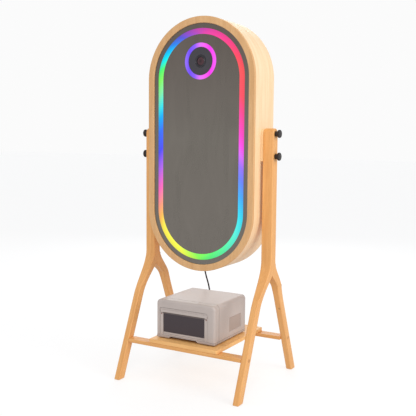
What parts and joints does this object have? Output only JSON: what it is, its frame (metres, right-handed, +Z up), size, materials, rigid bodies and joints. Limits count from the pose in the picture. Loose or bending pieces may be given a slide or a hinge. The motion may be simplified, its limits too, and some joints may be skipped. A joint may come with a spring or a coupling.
{
  "type": "photo booth",
  "caption": "Free-standing photo booth: a pill-shaped tilting mirror with camera and colour light band on wooden wishbone legs, with a photo printer on a shelf.",
  "frame": {"origin": "on the floor, at the centre of the object's footprint, midway between the two legs and between the front and rear feet", "axes": "+Z up; the mirror faces -Y; +X is to the right of someone who faces the mirror"},
  "size_m": [0.6922, 0.576, 1.589],
  "materials": {
    "left_leg": "oiled, satin",
    "right_leg": "oiled, satin",
    "front_rail": "oiled, satin",
    "rear_rail": "oiled, satin",
    "rail_bolt_front_left": "oiled, satin",
    "rail_bolt_rear_left": "oiled, satin",
    "rail_bolt_front_right": "oiled, satin",
    "rail_bolt_rear_right": "oiled, satin",
    "shelf_board": "oiled, satin",
    "friction_pad_left": "pale veneer, satin",
    "friction_pad_right": "pale veneer, satin",
    "slot_nut_left": "zinc plated",
    "slot_nut_right": "zinc plated",
    "printer_tray": "fine texture",
    "printer_fascia": "fine texture",
    "printer_case": "fine texture",
    "printer_chassis": "bare",
    "print_head": "bare",
    "printer_inlet": "satin",
    "printer_foot_front_left": "matte",
    "printer_foot_rear_left": "matte",
    "printer_foot_front_right": "matte",
    "printer_foot_rear_right": "matte",
    "cable_plug": "satin",
    "data_cable": "matte",
    "housing_shell": "pale veneer, satin",
    "front_rim": "satin",
    "mirror_border": "smoked, polished",
    "light_band": "opal, lit from behind",
    "mirror_pane": "smoked, polished",
    "camera_ring": "opal, lit from behind",
    "camera_window": "smoked",
    "backing_board": "raw fibreboard",
    "led_strip": "matte",
    "camera_lens": "satin",
    "camera_body": "satin",
    "computer": "satin",
    "power_supply": "satin",
    "rear_panel": "pale veneer, satin",
    "hinge_leaf_panel": "zinc plated",
    "hinge_pin": "zinc plated",
    "head_inlet": "satin",
    "switch_frame": "satin",
    "cable_gland": "satin",
    "pivot_plate_left": "zinc plated",
    "pivot_plate_right": "zinc plated",
    "service_door": "pale veneer, satin",
    "hinge_leaf_door": "zinc plated",
    "lock_barrel": "zinc plated",
    "lock_plug": "zinc plated",
    "power_switch": "satin",
    "knob_upper_left": "satin",
    "knob_upper_right": "satin",
    "knob_lower_left": "satin",
    "knob_lower_right": "satin",
    "printer_flap": "satin",
    "paper_roll": "paper",
    "ribbon_supply": "film",
    "ribbon_takeup": "film",
    "platen_roller": "matte"
  },
  "bodies": {
    "stand": {"left_leg": "left_leg", "right_leg": "right_leg", "front_rail": "front_rail", "rear_rail": "rear_rail", "rail_bolt_front_left": "rail_bolt_front_left", "rail_bolt_rear_left": "rail_bolt_rear_left", "rail_bolt_front_right": "rail_bolt_front_right", "rail_bolt_rear_right": "rail_bolt_rear_right", "shelf_board": "shelf_board", "friction_pad_left": "friction_pad_left", "friction_pad_right": "friction_pad_right", "slot_nut_left": "slot_nut_left", "slot_nut_right": "slot_nut_right", "printer_tray": "printer_tray", "printer_fascia": "printer_fascia", "printer_case": "printer_case", "printer_chassis": "printer_chassis", "print_head": "print_head", "printer_inlet": "printer_inlet", "printer_foot_front_left": "printer_foot_front_left", "printer_foot_rear_left": "printer_foot_rear_left", "printer_foot_front_right": "printer_foot_front_right", "printer_foot_rear_right": "printer_foot_rear_right", "cable_plug": "cable_plug", "data_cable": "data_cable"},
    "mirror_head": {"housing_shell": "housing_shell", "front_rim": "front_rim", "mirror_border": "mirror_border", "light_band": "light_band", "mirror_pane": "mirror_pane", "camera_ring": "camera_ring", "camera_window": "camera_window", "backing_board": "backing_board", "led_strip": "led_strip", "camera_lens": "camera_lens", "camera_body": "camera_body", "computer": "computer", "power_supply": "power_supply", "rear_panel": "rear_panel", "hinge_leaf_panel": "hinge_leaf_panel", "hinge_pin": "hinge_pin", "head_inlet": "head_inlet", "switch_frame": "switch_frame", "cable_gland": "cable_gland", "pivot_plate_left": "pivot_plate_left", "pivot_plate_right": "pivot_plate_right"},
    "service_door": {"service_door": "service_door", "hinge_leaf_door": "hinge_leaf_door", "lock_barrel": "lock_barrel"},
    "lock_plug": {"lock_plug": "lock_plug"},
    "power_switch": {"power_switch": "power_switch"},
    "knob_upper_left": {"knob_upper_left": "knob_upper_left"},
    "knob_upper_right": {"knob_upper_right": "knob_upper_right"},
    "knob_lower_left": {"knob_lower_left": "knob_lower_left"},
    "knob_lower_right": {"knob_lower_right": "knob_lower_right"},
    "printer_flap": {"printer_flap": "printer_flap"},
    "paper_roll": {"paper_roll": "paper_roll"},
    "ribbon_supply": {"ribbon_supply": "ribbon_supply"},
    "ribbon_takeup": {"ribbon_takeup": "ribbon_takeup"},
    "platen_roller": {"platen_roller": "platen_roller"}
  },
  "joints": [
    {"name": "head_tilt", "type": "hinge", "parent": "stand", "child": "mirror_head", "pos_m": [0, 0, 1.092], "axis": [1, 0, 0], "range_deg": [-8, 8], "deforming": ["data_cable"]},
    {"name": "knob_upper_left_turn", "type": "hinge", "parent": "stand", "child": "knob_upper_left", "pos_m": [-0.3233, 0, 1.092], "axis": [-1, 0, 0], "range_deg": [0, 360]},
    {"name": "knob_upper_right_turn", "type": "hinge", "parent": "stand", "child": "knob_upper_right", "pos_m": [0.3233, 0, 1.092], "axis": [1, 0, 0], "range_deg": [0, 360]},
    {"name": "knob_lower_left_turn", "type": "hinge", "parent": "stand", "child": "knob_lower_left", "pos_m": [-0.3233, 0, 0.997], "axis": [-1, 0, 0], "range_deg": [0, 360]},
    {"name": "knob_lower_right_turn", "type": "hinge", "parent": "stand", "child": "knob_lower_right", "pos_m": [0.3233, 0, 0.997], "axis": [1, 0, 0], "range_deg": [0, 360]},
    {"name": "service_door_swing", "type": "hinge", "parent": "mirror_head", "child": "service_door", "pos_m": [0.15075, 0.1008, 0.99], "axis": [0, 0, -1], "range_deg": [0, 110]},
    {"name": "lock_turn", "type": "hinge", "parent": "service_door", "child": "lock_plug", "pos_m": [-0.13, 0.0993, 0.99], "axis": [0, -1, 0], "range_deg": [0, 90]},
    {"name": "power_switch_rock", "type": "hinge", "parent": "mirror_head", "child": "power_switch", "pos_m": [0, 0.097, 0.61], "axis": [1, 0, 0], "range_deg": [0, 16]},
    {"name": "printer_flap_lift", "type": "hinge", "parent": "stand", "child": "printer_flap", "pos_m": [-0.0165, -0.1765, 0.3043], "axis": [-1, 0, 0], "range_deg": [0, 75]},
    {"name": "paper_roll_turn", "type": "hinge", "parent": "stand", "child": "paper_roll", "pos_m": [-0.0085, 0.03, 0.275], "axis": [1, 0, 0], "continuous": true},
    {"name": "ribbon_supply_turn", "type": "hinge", "parent": "stand", "child": "ribbon_supply", "pos_m": [-0.0085, -0.04, 0.32], "axis": [1, 0, 0], "continuous": true},
    {"name": "ribbon_takeup_turn", "type": "hinge", "parent": "stand", "child": "ribbon_takeup", "pos_m": [-0.0085, -0.115, 0.318], "axis": [1, 0, 0], "continuous": true},
    {"name": "platen_roller_turn", "type": "hinge", "parent": "stand", "child": "platen_roller", "pos_m": [-0.0085, -0.078, 0.262], "axis": [1, 0, 0], "continuous": true}
  ]
}
